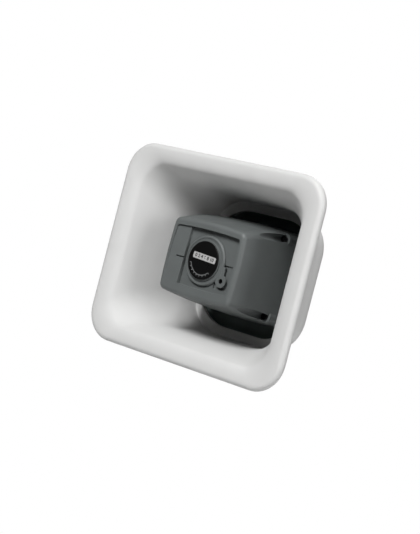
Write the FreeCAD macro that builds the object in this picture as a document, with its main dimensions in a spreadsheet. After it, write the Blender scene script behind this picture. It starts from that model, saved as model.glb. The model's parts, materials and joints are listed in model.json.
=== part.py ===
# Horn speaker with a rectangular bell, a driver housing in its throat and a tilting wall mount.
# Millimetres. +Z is up, the mouth faces -Y, and the origin is the centre of the wall plate's back.
import FreeCAD, Part
import math
import os
import re
import Sketcher

V = FreeCAD.Vector

# Driving dimensions. Depths are measured back from the mouth, heights and widths from the axis.
SIZES = {
    # Mouth, lip and flare of the bell
    "mouth_width": 266,
    "mouth_height": 216,
    "mouth_corner": 33,
    "bead_radius": 5,
    "lip_width": 20,
    "lip_drop_width": 9,
    "lip_height": 15.5,
    "lip_drop_height": 7,
    "lip_turn_width": 56,
    "lip_turn_height": 62,
    "wall": 3,
    # Throat and rear box of the bell
    "bell_depth": 115,
    "throat_step": 5,
    "throat_width": 140,
    "throat_height": 128,
    "throat_corner": 46,
    "throat_lip": 5,
    "flare_corner": 40,
    "box_width": 148.5,
    "box_height": 153,
    "box_corner": 42,
    "box_length": 20,
    "box_round": 19.5,
    "back_wall": 8,
    # Back plate and its opening
    "opening_width": 80,
    "opening_height": 76,
    "opening_corner": 12,
    "seat_width": 7,
    "plate_thick": 4,
    "gasket_thick": 1,
    "fit_gap": 0.3,
    "back_screw_radius": 1.5,
    "reflector_radius": 26,
    "reflector_height": 13,
    "reflector_tip": 3,
    # Driver housing
    "housing_front": 3,
    "housing_rear": 91,
    "front_width": 97.5,
    "front_top": 40,
    "front_bottom": 39.5,
    "front_corner": 6.5,
    "front_round": 4.5,
    "rear_width": 124,
    "rear_top": 53.5,
    "rear_bottom": 49.5,
    "rear_corner": 14,
    "edge_bow": 2,
    "flank_bow": 1,
    "side_swell": 2,
    "top_swell": 3,
    "bottom_swell": 1,
    "shell": 2.5,
    "front_thick": 8,
    "recess_left": 24.5,
    "recess_right": 43,
    "recess_top": 32.7,
    "recess_bottom": 28.3,
    "recess_bow": 1.5,
    "recess_depth": 5,
    "recess_corner": 2.5,
    "shelf_up": 2.4,
    "shelf_across": 20,
    "shelf_step": 1.5,
    "panel_depth": 2,
    "slot_length": 11.5,
    "slot_height": 1.2,
    "slot_depth": 1,
    "slot_across": 34.8,
    "slot_drop": 0.55,
    # Corner lugs that fasten the housing to the bell's posts
    "lug_depth": 60,
    "lug_across": 53.5,
    "lug_top": 42.5,
    "lug_bottom": 38,
    "lug_radius": 6.5,
    "lug_floor": 3,
    "pocket_radius": 4.5,
    "post_radius": 3.6,
    "post_gap": 0.4,
    "housing_screw_radius": 1.9,
    "housing_screw_length": 20,
    "screw_gap": 0.15,
    # Dial on the front
    "dial_across": 2.5,
    "dial_lift": 1.4,
    "dial_radius": 26,
    "dial_edge": 1.3,
    "dial_gap": 0.3,
    "rim_width": 2.6,
    "groove_depth": 1.5,
    "badge_radius": 19.8,
    "badge_thick": 1.2,
    "badge_border": 1,
    "eye_across": 26.8,
    "eye_drop": 14.4,
    "eye_radius": 6.6,
    "eye_hole": 2.5,
    "eye_sink": 1.6,
    "grub_sink": 0.5,
    "slot_cut": 0.6,
    "strap_width": 6,
    "strap_across": 26,
    "strap_top": 0.5,
    "shaft_radius": 3,
    "shaft_reach": 3,
    "running_gap": 0.05,
    "bush_radius": 4,
    "control_radius": 8.5,
    "control_length": 9,
    "pin_across": 4,
    "pin_drop": 5,
    "nut_radius": 6.5,
    "nut_thick": 1.6,
    "nut_gap": 0.4,
    # Compression driver
    "driver_radius": 39,
    "driver_screw_circle": 36,
    "driver_screw_radius": 1.5,
    "frame_thick": 9.2,
    "frame_bore": 24,
    "cover_thick": 4,
    "throat_bore": 12,
    "throat_exit": 18,
    "diaphragm_radius": 30,
    "diaphragm_thick": 0.8,
    "dome_radius": 19,
    "dome_rise": 5,
    "top_plate_thick": 5,
    "magnet_radius": 33,
    "magnet_thick": 15,
    "magnet_bore": 21.5,
    "pole_radius": 18.4,
    "yoke_radius": 32,
    "yoke_thick": 5,
    "gap_radius": 20.6,
    "coil_inner": 19,
    "coil_outer": 20,
    "coil_length": 8,
    "plug_gap": 0.6,
    "plug_bore": 3,
    "plug_circle": 8,
    "plug_hole": 2,
    # Amplifier
    "board_depth": 40,
    "board_thick": 1.6,
    "board_width": 84,
    "board_height": 52,
    "board_post_across": 37,
    "board_post_up": 21,
    "board_post_radius": 3,
    "board_screw_radius": 1.2,
    "board_screw_length": 7,
    "board_pilot": 8,
    "core_width": 24,
    "core_height": 26,
    "core_thick": 12,
    "core_across": 24,
    "limb": 5,
    "core_gap": 0.2,
    "winding_overhang": 4,
    "capacitor_radius": 5,
    "capacitor_length": 18,
    "capacitor_near": 15,
    "capacitor_far": 27,
    "capacitor_down": 16,
    "capacitor_up": 17,
    "sink_across": 26,
    "sink_up": 3,
    "sink_width": 20,
    "sink_height": 12,
    "sink_length": 20,
    "sink_base": 3,
    "sink_fin": 1.6,
    "block_size": 11,
    "block_length": 12,
    "block_corner": 28,
    "lead_radius": 0.9,
    "lead_straight": 12,
    "lead_bend": 6,
    "lead_shift": 5,
    "lead_land": 20,
    "tag_inset": 1,
    "tag_straight": 10,
    "tag_rise": 14,
    "supply_radius": 2.5,
    "supply_in": 9,
    "supply_up": 7,
    "supply_inset": 2,
    "gland_radius": 6.5,
    "gland_length": 9,
    "gland_step": 1,
    "spigot_wall": 1.6,
    # Wall mount
    "tilt_reach": 9,
    "link_length": 18,
    "pan_reach": 16,
    "ear_radius": 8,
    "ear_thick": 4,
    "barrel_radius": 7,
    "tilt_barrel": 18,
    "pan_barrel": 22,
    "web": 12,
    "side_gap": 0.3,
    "pin_radius": 3,
    "head_radius": 5.5,
    "head_thick": 4,
    "washer_gap": 0.2,
    "wall_plate_width": 44,
    "wall_plate_height": 60,
    "wall_plate_thick": 5,
    "wall_plate_corner": 5,
    "wall_hole_radius": 2.6,
    "wall_hole_across": 30,
    "wall_hole_up": 46,
}

# Sizes and places that follow from the driving dimensions. Places along Y start with at_.
DERIVED = {
    "at_pan": "-pan_reach",
    "at_tilt": "-(pan_reach + link_length)",
    "at_back": "at_tilt - tilt_reach",
    "at_mouth": "at_back - bell_depth",
    "at_housing_front": "at_mouth + housing_front",
    "at_housing_rear": "at_mouth + housing_rear",
    "at_cavity": "at_housing_front + front_thick",
    "at_recess": "at_housing_front + recess_depth",
    "at_box": "at_back - box_length",
    "at_chamber_back": "at_back - back_wall",
    "at_lug": "at_mouth + lug_depth",
    "at_post_top": "at_lug + lug_floor",
    "at_plate": "at_back - plate_thick",
    "at_gasket": "at_plate - gasket_thick",
    "at_throat": "at_housing_rear + throat_step",
    "at_cover": "at_housing_rear - cover_thick",
    "at_frame": "at_cover - frame_thick",
    "at_diaphragm": "at_frame - diaphragm_thick",
    "at_top_plate": "at_diaphragm - top_plate_thick",
    "at_magnet": "at_top_plate - magnet_thick",
    "at_yoke": "at_magnet - yoke_thick",
    "at_board": "at_mouth + board_depth",
    "at_board_rear": "at_board + board_thick",
    "at_dial_back": "at_recess - dial_gap",
    "at_dial_front": "at_housing_front + badge_thick",
    "at_eye": "at_dial_front + eye_sink",
    "at_nut": "at_recess - nut_thick",
    "crest_width": "mouth_width / 2 - bead_radius",
    "crest_height": "mouth_height / 2 - bead_radius",
    "crest_corner": "mouth_corner - bead_radius",
    "chamber_width": "box_width - 2 * wall",
    "chamber_height": "box_height - 2 * wall",
    "chamber_corner": "box_corner - wall",
    "flare_depth": "bell_depth - box_length",
    "housing_length": "housing_rear - housing_front",
    "plate_width": "opening_width + 2 * seat_width",
    "plate_height": "opening_height + 2 * seat_width",
    "plate_corner": "opening_corner + seat_width",
    "dial_hub": "shaft_radius + running_gap",
    "eye_x": "dial_across + eye_across",
    "supply_x": "-(opening_width / 2 - supply_in)",
    "supply_z": "-(opening_height / 2 - supply_up)",
}

# Steps along the flare, closer together at the lip
FLARE_STEPS = 18
FLARE_CROWDING = 2.2

# Where the driver's two leads leave its rim, in degrees below the X axis
TAG_ANGLES = (57, 66)

FIN_COUNT = 5

doc = FreeCAD.newDocument("HornSpeaker")
sheet = doc.addObject("Spreadsheet::Sheet", "Sizes")
PARTS = []


def fill_sheet():
    for row, (name, value) in enumerate(SIZES.items(), start=1):
        sheet.set("A%d" % row, name)
        sheet.set("B%d" % row, str(value))
        sheet.setAlias("B%d" % row, name)
    doc.recompute()


def terms(text):
    """Write an expression of size names as one that reads the sheet."""
    def swap(found):
        word = found.group(0)
        if word in DERIVED:
            return "(" + terms(DERIVED[word]) + ")"
        return "Sizes." + word if word in SIZES else word
    return re.sub(r"[A-Za-z_]\w*", swap, str(text))


def number(text):
    return float(sheet.evalExpression(terms(text)))


def bind(item, prop, text):
    item.setExpression(prop, terms(text))


def publish(item, label):
    """Give a finished sub-part its name and put it on the list of those that are written."""
    item.Label = label
    PARTS.append(item)
    return item


# Sketches

def sketch_on(body, name, role, offset):
    """Empty sketch on an origin plane of its body, moved along the plane's normal."""
    sketch = body.newObject("Sketcher::SketchObject", name)
    support = [plane for plane in body.Origin.OriginFeatures if plane.Role == role][0]
    sketch.AttachmentSupport = [(support, "")]
    sketch.MapMode = "FlatFace"
    bind(sketch, "AttachmentOffset.Base.z", offset)
    return sketch


def facing(body, name, place_y):
    """Empty upright sketch at a place along Y, with X to the right and Z up."""
    return sketch_on(body, name, "XZ_Plane", "-(%s)" % place_y)


def dimension(sketch, label, constraint, text):
    index = sketch.addConstraint(constraint)
    name = "%s_%d" % (label, index)
    sketch.renameConstraint(index, name)
    bind(sketch, "Constraints." + name, text)


def place_point(sketch, geometry, point, across, up):
    """Tie a point of the sketch to its distances from the origin, either side of it."""
    for kind, text in (("DistanceX", across), ("DistanceY", up)):
        value = number(text)
        if abs(value) < 1e-9:
            axis = -2 if kind == "DistanceX" else -1
            sketch.addConstraint(Sketcher.Constraint("PointOnObject", geometry, point, axis))
        elif value > 0:
            rule = Sketcher.Constraint(kind, -1, 1, geometry, point, value)
            dimension(sketch, "place", rule, text)
        else:
            rule = Sketcher.Constraint(kind, geometry, point, -1, 1, -value)
            dimension(sketch, "place", rule, "-(%s)" % text)


def rounded(sketch, width, height, corner, lift="0"):
    """Rounded rectangle, centred on the axis and raised by lift."""
    half_w, half_h, turn = number(width) / 2, number(height) / 2, number(corner)
    rise = number(lift)
    first = sketch.GeometryCount
    inner_w, inner_h = half_w - turn, half_h - turn
    up = V(0, 0, 1)

    def side(x0, z0, x1, z1):
        sketch.addGeometry(Part.LineSegment(V(x0, z0 + rise, 0), V(x1, z1 + rise, 0)))

    def arc(x, z, start):
        circle_here = Part.Circle(V(x, z + rise, 0), up, turn)
        begin = math.radians(start)
        sketch.addGeometry(Part.ArcOfCircle(circle_here, begin, begin + math.pi / 2))

    side(-inner_w, -half_h, inner_w, -half_h)
    arc(inner_w, -inner_h, 270)
    side(half_w, -inner_h, half_w, inner_h)
    arc(inner_w, inner_h, 0)
    side(inner_w, half_h, -inner_w, half_h)
    arc(-inner_w, inner_h, 90)
    side(-half_w, inner_h, -half_w, -inner_h)
    arc(-inner_w, -inner_h, 180)
    for step in range(8):
        this, following = first + step, first + (step + 1) % 8
        sketch.addConstraint(Sketcher.Constraint("Tangent", this, 2, following, 1))
    for step, kind in ((0, "Horizontal"), (2, "Vertical"), (4, "Horizontal"), (6, "Vertical")):
        sketch.addConstraint(Sketcher.Constraint(kind, first + step))
    for step in (3, 5, 7):
        sketch.addConstraint(Sketcher.Constraint("Equal", first + 1, first + step))
    radius_rule = Sketcher.Constraint("Radius", first + 1, turn)
    dimension(sketch, "corner", radius_rule, corner)
    width_rule = Sketcher.Constraint("DistanceX", first + 6, 1, first + 2, 1, 2 * half_w)
    dimension(sketch, "width", width_rule, width)
    height_rule = Sketcher.Constraint("DistanceY", first, 1, first + 4, 1, 2 * half_h)
    dimension(sketch, "height", height_rule, height)
    place_point(sketch, first + 2, 2, "(%s)/2" % width,
                "(%s) + (%s)/2 - (%s)" % (lift, height, corner))


def circle(sketch, radius, across="0", up="0"):
    centre = V(number(across), number(up), 0)
    index = sketch.addGeometry(Part.Circle(centre, V(0, 0, 1), number(radius)))
    rule = Sketcher.Constraint("Radius", index, number(radius))
    dimension(sketch, "radius", rule, radius)
    if number(across) or number(up):
        place_point(sketch, index, 3, across, up)
    else:
        sketch.addConstraint(Sketcher.Constraint("Coincident", index, 3, -1, 1))


# Features of a body

def new_body(name):
    return doc.addObject("PartDesign::Body", name)


def pad(body, sketch, length, to_wall=True):
    """Pad a sketch that faces the front, towards the wall or towards the mouth."""
    feature = body.newObject("PartDesign::Pad", sketch.Name + "_pad")
    feature.Profile = sketch
    feature.Reversed = to_wall
    bind(feature, "Length", length)
    sketch.Visibility = False
    return feature


def pocket(body, sketch, length, to_wall=True):
    """Cut a sketch that faces the front, towards the wall or towards the mouth."""
    feature = body.newObject("PartDesign::Pocket", sketch.Name + "_cut")
    feature.Profile = sketch
    feature.Reversed = not to_wall
    bind(feature, "Length", length)
    return feature


def loft(body, kind, name, sections, ruled):
    feature = body.newObject("PartDesign::%sLoft" % kind, name)
    feature.Profile = sections[0]
    feature.Sections = sections[1:]
    feature.Ruled = ruled
    return feature


def edges_where(shape, test):
    """Names of a shape's edges that a test accepts."""
    names = []
    for index, edge in enumerate(shape.Edges, start=1):
        if test(edge):
            names.append("Edge%d" % index)
    return names


def fillet(body, test, radius):
    """Round the edges of the body's last feature that a test accepts."""
    doc.recompute()
    last = body.Tip
    feature = body.newObject("PartDesign::Fillet", last.Name + "_fillet")
    feature.Base = (last, edges_where(last.Shape, test))
    bind(feature, "Radius", radius)
    return feature


def edge_at(place_y):
    """Test for edges that lie in one upright plane."""
    level = number(place_y)

    def test(edge):
        box = edge.BoundBox
        return abs(box.YMin - level) < 0.01 and abs(box.YMax - level) < 0.01
    return test


# Solids made of primitives

def rod(name, radius, length, start, across="0", up="0", axis="Y"):
    """Cylinder along an axis, from its start."""
    item = doc.addObject("Part::Cylinder", name)
    bind(item, "Radius", radius)
    bind(item, "Height", length)
    turn = {"Y": (V(1, 0, 0), -90), "X": (V(0, 1, 0), 90), "Z": (V(0, 0, 1), 0)}[axis]
    item.Placement = FreeCAD.Placement(V(0, 0, 0), FreeCAD.Rotation(*turn))
    places = {"Y": (across, start, up), "X": (start, across, up), "Z": (across, up, start)}[axis]
    for letter, text in zip("xyz", places):
        bind(item, "Placement.Base." + letter, text)
    return item


def cone(name, radius_front, radius_rear, length, start):
    item = doc.addObject("Part::Cone", name)
    bind(item, "Radius1", radius_front)
    bind(item, "Radius2", radius_rear)
    bind(item, "Height", length)
    item.Placement = FreeCAD.Placement(V(0, 0, 0), FreeCAD.Rotation(V(1, 0, 0), -90))
    bind(item, "Placement.Base.y", start)
    return item


def block(name, size, centre_x, start_y, centre_z):
    """Box of a size (across, along Y, up), centred across and up, from its start along Y."""
    item = doc.addObject("Part::Box", name)
    for prop, text in zip(("Length", "Width", "Height"), size):
        bind(item, prop, text)
    bind(item, "Placement.Base.x", "(%s) - (%s) / 2" % (centre_x, size[0]))
    bind(item, "Placement.Base.y", start_y)
    bind(item, "Placement.Base.z", "(%s) - (%s) / 2" % (centre_z, size[2]))
    return item


def join(name, items):
    item = doc.addObject("Part::MultiFuse", name)
    item.Shapes = items
    item.Refine = True
    return item


def cut(name, base, tools):
    item = doc.addObject("Part::Cut", name)
    item.Base = base
    item.Tool = tools[0] if len(tools) == 1 else join(name + "_tools", tools)
    return item


def group(name, items):
    """Identical loose pieces that share one node."""
    item = doc.addObject("Part::Compound", name)
    item.Links = items
    return item


def tube(name, outer, inner, length, start):
    """Plain ring along Y, whose bore runs past both of its faces."""
    body = rod(name + "_outer", outer, length, start)
    bore = rod(name + "_bore", inner, "(%s) + 2" % length, "(%s) - 1" % start)
    return cut(name, body, [bore])


# Bell

def flare_half(depth, crest, lip, angle, end_half, end_depth):
    """Half-size of the flare at a depth: a flat lip that turns in, then a curve into the throat."""
    across, drop = lip
    reach = "(%s / %s * tan((%s) * 1 deg))" % (across, drop, angle)
    lip_depth = "(%s * (1 - 1 / sqrt(1 + %s^2)))" % (drop, reach)
    if number(depth) <= number(lip_depth):
        return "(%s) - %s * sqrt(1 - (1 - (%s) / %s)^2)" % (crest, across, depth, drop)
    lip_half = "((%s) - %s * %s / sqrt(1 + %s^2))" % (crest, across, reach, reach)
    fall = "(%s - (%s))" % (lip_half, end_half)
    run = "((%s) - %s)" % (end_depth, lip_depth)
    power = "(%s / %s / tan((%s) * 1 deg))" % (run, fall, angle)
    left = "(((%s) - (%s)) / %s)" % (end_depth, depth, run)
    return "(%s) + %s * %s^%s" % (end_half, fall, left, power)


def flare_sections(body, name, shift, end_width, end_height, end_corner, end_depth):
    """Cross-sections of the flare's inner face, or of its outer face with a shift of the wall."""
    sections = []
    for index in range(FLARE_STEPS + 1):
        share = (index / FLARE_STEPS) ** FLARE_CROWDING
        depth = "(%g * ((%s) - (%s)))" % (share, end_depth, shift)
        run_out = "((%s) - (%s))" % (end_depth, shift)
        half_w = flare_half(depth, "crest_width", ("lip_width", "lip_drop_width"), "lip_turn_width",
                            "(%s) / 2 - (%s)" % (end_width, shift), run_out)
        half_h = flare_half(depth, "crest_height", ("lip_height", "lip_drop_height"), "lip_turn_height",
                            "(%s) / 2 - (%s)" % (end_height, shift), run_out)
        corner = "(%g * crest_corner + %g * ((%s) - (%s)))" % (1 - share, share, end_corner, shift)
        sketch = facing(body, "%s_%d" % (name, index), "at_mouth + (%s) + (%s)" % (shift, depth))
        rounded(sketch, "2 * ((%s) + (%s))" % (half_w, shift),
                "2 * ((%s) + (%s))" % (half_h, shift), "%s + (%s)" % (corner, shift))
        sections.append(sketch)
    return sections


def bell_bead(body):
    """Rolled edge round the mouth: a round bead swept along the lip."""
    path = facing(body, "bead_path", "at_mouth + bead_radius")
    rounded(path, "2 * crest_width", "2 * crest_height", "crest_corner")
    profile = sketch_on(body, "bead_profile", "YZ_Plane", "-(crest_width - crest_corner)")
    circle(profile, "bead_radius", "at_mouth + bead_radius", "-(crest_height)")
    feature = body.newObject("PartDesign::AdditivePipe", "bead")
    feature.Profile = profile
    feature.Spine = path
    return feature


def corner_places():
    """Centres of the four corner lugs."""
    return [(side + "lug_across", up) for side in ("", "-") for up in ("lug_top", "-lug_bottom")]


def back_screw_places():
    across = "(opening_width + seat_width) / 2"
    up = "(opening_height + seat_width) / 2"
    beside = [(side + across, rise + "opening_height / 4") for side in ("", "-") for rise in ("", "-")]
    return beside + [("0", up), ("0", "-" + up)]


def make_bell():
    body = new_body("bell_body")
    outer = flare_sections(body, "outer", "wall * 0.75", "box_width", "box_height",
                           "box_corner", "flare_depth")
    loft(body, "Additive", "flare_outside", outer, True)
    front = facing(body, "lip_plate", "at_mouth")
    rounded(front, "2 * crest_width", "2 * crest_height", "crest_corner")
    pad(body, front, "wall * 0.75")
    rear = facing(body, "rear_box", "at_box")
    rounded(rear, "box_width", "box_height", "box_corner")
    pad(body, rear, "box_length")
    bell_bead(body)
    inner = flare_sections(body, "inner", "0", "chamber_width", "chamber_height",
                           "flare_corner", "flare_depth")
    loft(body, "Subtractive", "flare_inside", inner, True)
    clear = facing(body, "mouth_clear", "at_mouth")
    rounded(clear, "2 * crest_width - 0.02", "2 * crest_height - 0.02", "crest_corner")
    pocket(body, clear, "bead_radius / 50", False)
    chamber = facing(body, "chamber", "at_box")
    rounded(chamber, "chamber_width", "chamber_height", "chamber_corner")
    pocket(body, chamber, "box_length - wall")
    fillet(body, edge_at("at_back - wall"), "box_round - wall")
    fillet(body, edge_at("at_back"), "box_round")
    seat_rim = facing(body, "seat_rim", "at_chamber_back")
    rounded(seat_rim, "plate_width + 2 * wall", "plate_height + 2 * wall", "plate_corner + wall")
    pad(body, seat_rim, "back_wall - wall / 2")
    lip = facing(body, "throat_ring", "at_throat - throat_lip / 2")
    rounded(lip, "chamber_width + wall", "chamber_height + wall", "chamber_corner + wall / 2")
    rounded(lip, "throat_width", "throat_height", "throat_corner")
    pad(body, lip, "throat_lip")
    posts = facing(body, "posts", "at_back - 0.8 * wall")
    for across, up in corner_places():
        circle(posts, "post_radius", across, up)
    pad(body, posts, "at_back - 0.8 * wall - at_post_top", False)
    pilots = facing(body, "post_holes", "at_post_top")
    for across, up in corner_places():
        circle(pilots, "housing_screw_radius + screw_gap / 3", across, up)
    pocket(body, pilots, "housing_screw_length")
    opening = facing(body, "rear_opening", "at_back")
    rounded(opening, "opening_width", "opening_height", "opening_corner")
    pocket(body, opening, "back_wall + 1", False)
    seat = facing(body, "plate_seat", "at_back")
    rounded(seat, "plate_width + 2 * fit_gap", "plate_height + 2 * fit_gap", "plate_corner + fit_gap")
    pocket(body, seat, "plate_thick + gasket_thick", False)
    holes = facing(body, "back_screw_holes", "at_gasket")
    for across, up in back_screw_places():
        circle(holes, "back_screw_radius + screw_gap / 3", across, up)
    pocket(body, holes, "back_wall", False)
    publish(body, "bell")


# Back plate, gasket and cable gland

def make_back_plate():
    body = new_body("back_plate_body")
    plate = facing(body, "plate", "at_plate")
    rounded(plate, "plate_width", "plate_height", "plate_corner")
    pad(body, plate, "plate_thick")
    holes = facing(body, "plate_holes", "at_plate")
    for across, up in back_screw_places():
        circle(holes, "back_screw_radius + screw_gap", across, up)
    circle(holes, "supply_radius + spigot_wall", "supply_x", "supply_z")
    pocket(body, holes, "plate_thick")
    reflector = cone("reflector", "reflector_tip", "reflector_radius", "reflector_height",
                     "at_plate - reflector_height")
    ears = []
    for side in ("", "-"):
        middle = side + "(tilt_barrel / 2 + side_gap + ear_thick / 2)"
        start = "%s - ear_thick / 2" % middle
        ears.append(rod("tilt_ear", "ear_radius", "ear_thick", start, "at_tilt", "0", "X"))
        size = ("ear_thick", "tilt_reach", "2 * ear_radius")
        ears.append(block("ear_root", size, middle, "at_back", "0"))
    whole = join("back_plate_whole", [body, reflector] + ears)
    hole = rod("tilt_hole", "pin_radius + running_gap", "3 * tilt_barrel", "-1.5 * tilt_barrel",
               "at_tilt", "0", "X")
    publish(cut("back_plate_cut", whole, [hole]), "back_plate")


def make_back_gasket():
    body = new_body("gasket_body")
    ring = facing(body, "gasket", "at_gasket")
    rounded(ring, "plate_width", "plate_height", "plate_corner")
    rounded(ring, "opening_width", "opening_height", "opening_corner")
    pad(body, ring, "gasket_thick")
    holes = facing(body, "gasket_holes", "at_gasket")
    for across, up in back_screw_places():
        circle(holes, "back_screw_radius + screw_gap", across, up)
    pocket(body, holes, "gasket_thick")
    publish(body, "back_gasket")


def screw(name, radius, length, under_head, across, up, to_front=True):
    """Pan-head screw along Y with its head's seat at under_head and a cross-cut drive."""
    head = "1.1 * (%s)" % radius
    if to_front:
        shank = rod(name + "_shank", radius, length, "(%s) - (%s)" % (under_head, length), across, up)
        cap = rod(name + "_head", "1.9 * (%s)" % radius, head, under_head, across, up)
        drive_at = "(%s) + 0.5 * (%s)" % (under_head, head)
    else:
        shank = rod(name + "_shank", radius, length, under_head, across, up)
        cap = rod(name + "_head", "1.9 * (%s)" % radius, head, "(%s) - (%s)" % (under_head, head),
                  across, up)
        drive_at = "(%s) - 1.5 * (%s)" % (under_head, head)
    long_side, short_side = "1.9 * (%s)" % radius, "0.45 * (%s)" % radius
    bars = [block(name + "_drive", (long_side, head, short_side), across, drive_at, up),
            block(name + "_drive", (short_side, head, long_side), across, drive_at, up)]
    return cut(name, join(name + "_solid", [shank, cap]), bars)


def make_back_screws():
    screws = [screw("back_screw", "back_screw_radius", "plate_thick + gasket_thick + wall - 0.5",
                    "at_back", across, up) for across, up in back_screw_places()]
    publish(group("back_screw_set", screws), "back_screws")


def make_cable_gland():
    """Cable gland: a base and a smaller cap behind the plate, and a spigot through it."""
    place = ("supply_x", "supply_z")
    base = rod("gland_base", "gland_radius", "gland_length / 2", "at_back", *place)
    dome = rod("gland_cap", "gland_radius - gland_step", "gland_length", "at_back", *place)
    spigot = rod("gland_spigot", "supply_radius + spigot_wall - running_gap",
                 "plate_thick + gland_length / 4", "at_plate", *place)
    bore = rod("gland_bore", "supply_radius + running_gap", "2 * (plate_thick + gland_length)",
               "at_plate - plate_thick", *place)
    publish(cut("gland_cut", join("gland_solid", [base, dome, spigot]), [bore]), "cable_gland")


# Driver housing

def bowed_ring(place_y, half_width, top, bottom, corner, edge_bow, flank_bow):
    """Rounded rectangle with slightly bowed sides, as a wire in an upright plane."""
    reach = half_width - flank_bow - corner
    high = top - edge_bow - corner
    low = corner + edge_bow - bottom
    turns = [(V(reach, 0, low), V(reach, 0, high), flank_bow, V(1, 0, 0)),
             (V(reach, 0, high), V(-reach, 0, high), edge_bow, V(0, 0, 1)),
             (V(-reach, 0, high), V(-reach, 0, low), flank_bow, V(-1, 0, 0)),
             (V(-reach, 0, low), V(reach, 0, low), edge_bow, V(0, 0, -1))]
    level = V(0, place_y, 0)
    sides = []
    for start, end, bow, outward in turns:
        middle = (start + end) * 0.5
        half = (end - start).Length / 2
        radius = (half ** 2 + bow ** 2) / (2 * bow)
        centre = middle + outward * (bow - radius)

        def away(point, centre=centre):
            return (point - centre).normalize()
        sides.append((start + away(start) * corner, middle + outward * (bow + corner),
                      end + away(end) * corner, away(start), away(end), end))
    edges = []
    for index, (first, middle, last, _, leaving, pivot) in enumerate(sides):
        following = sides[(index + 1) % 4]
        between = (leaving + following[3]).normalize()
        edges.append(Part.Arc(first + level, middle + level, last + level).toShape())
        edges.append(Part.Arc(last + level, pivot + between * corner + level,
                              following[0] + level).toShape())
    return Part.Wire(edges)


def housing_ring(depth, inset):
    """Cross-section of the tapered housing at a depth behind its front, or of its cavity."""
    share = depth / number("housing_length")
    swell = 4 * share * (1 - share)

    def along(front, rear, extra="0"):
        return number(front) * (1 - share) + number(rear) * share + number(extra) * swell
    return bowed_ring(number("at_housing_front") + depth,
                      along("front_width / 2", "rear_width / 2", "side_swell") - inset,
                      along("front_top", "rear_top", "top_swell") - inset,
                      along("front_bottom", "rear_bottom", "bottom_swell") - inset,
                      along("front_corner", "rear_corner") - 0.6 * inset,
                      number("edge_bow"), number("flank_bow"))


def housing_form(start, inset):
    """Solid that swells evenly from a front cross-section to the housing's rear."""
    length = number("housing_length")
    rings = [housing_ring(start + share * (length - start), inset) for share in (0.0, 0.5, 1.0)]
    return Part.makeLoft(rings, True, False)


def placed(name, shape):
    """Document object that holds a shape which is already in its place."""
    item = doc.addObject("Part::Feature", name)
    item.Shape = shape
    item.Placement = FreeCAD.Placement()
    return item


def housing_outside():
    solid = housing_form(0, 0)
    level = number("at_housing_front")
    rim = [edge for edge in solid.Edges
           if abs(edge.BoundBox.YMin - level) < 0.01 and abs(edge.BoundBox.YMax - level) < 0.01]
    return placed("housing_outside", solid.makeFillet(number("front_round"), rim))


def recess_form(name, left, right, depth):
    """Tool as high as the recess between two places across, with its bowed edges."""
    start = number("at_housing_front")
    top, bottom = number("recess_top"), number("recess_bottom")
    wide = bowed_ring(start - 1, number("front_width / 2 - front_round"), top, bottom,
                      number("recess_corner"), number("recess_bow"), number("recess_bow"))
    prism = Part.Face(wide).extrude(V(0, depth + 1, 0))
    keep = Part.makeBox(right - left, depth + 1, top + bottom, V(left, start - 1, -bottom))
    return prism.common(keep)


def recess_forms():
    """Deep recess round the dial with a step for its lug, and the shallow left panel."""
    left, right = -number("recess_left"), number("recess_right")
    depth = number("recess_depth")
    deep = recess_form("deep_recess", left, right, depth)
    along = [edge for edge in deep.Edges
             if abs(edge.tangentAt(edge.FirstParameter).y) > 0.99 and edge.CenterOfMass.x > right - 0.1]
    deep = deep.makeFillet(number("recess_corner"), along)
    drop = depth + number("shelf_step")
    side = number("shelf_across")
    step = Part.makeBox(right - side, drop, number("shelf_up + recess_bottom - 2 * recess_corner"),
                        V(side, number("at_housing_front"), -number("recess_bottom - 2 * recess_corner")))
    panel = recess_form("panel", -number("front_width / 2"), left + 1, number("panel_depth"))
    level = number("at_housing_front")
    back = V(0, level + number("panel_depth"), number("recess_top"))
    front = V(0, level, -number("recess_bottom"))
    wedge = Part.makePolygon([back, front, V(0, level - 2, front.z), V(0, level - 2, back.z), back])
    wedge = Part.Face(wedge).extrude(V(-number("front_width"), 0, 0))
    wedge.translate(V(left + 1, 0, 0))
    slot = block("left_slot", ("slot_length", "slot_depth + panel_depth", "slot_height"),
                 "-slot_across + slot_length / 2", "at_housing_front", "-slot_drop")
    return [placed("deep_recess", deep), placed("lug_step", step),
            placed("left_panel", panel.common(wedge)), slot]


def board_post_places():
    return [(side + "board_post_across", rise + "board_post_up") for side in ("", "-") for rise in ("", "-")]


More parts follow.
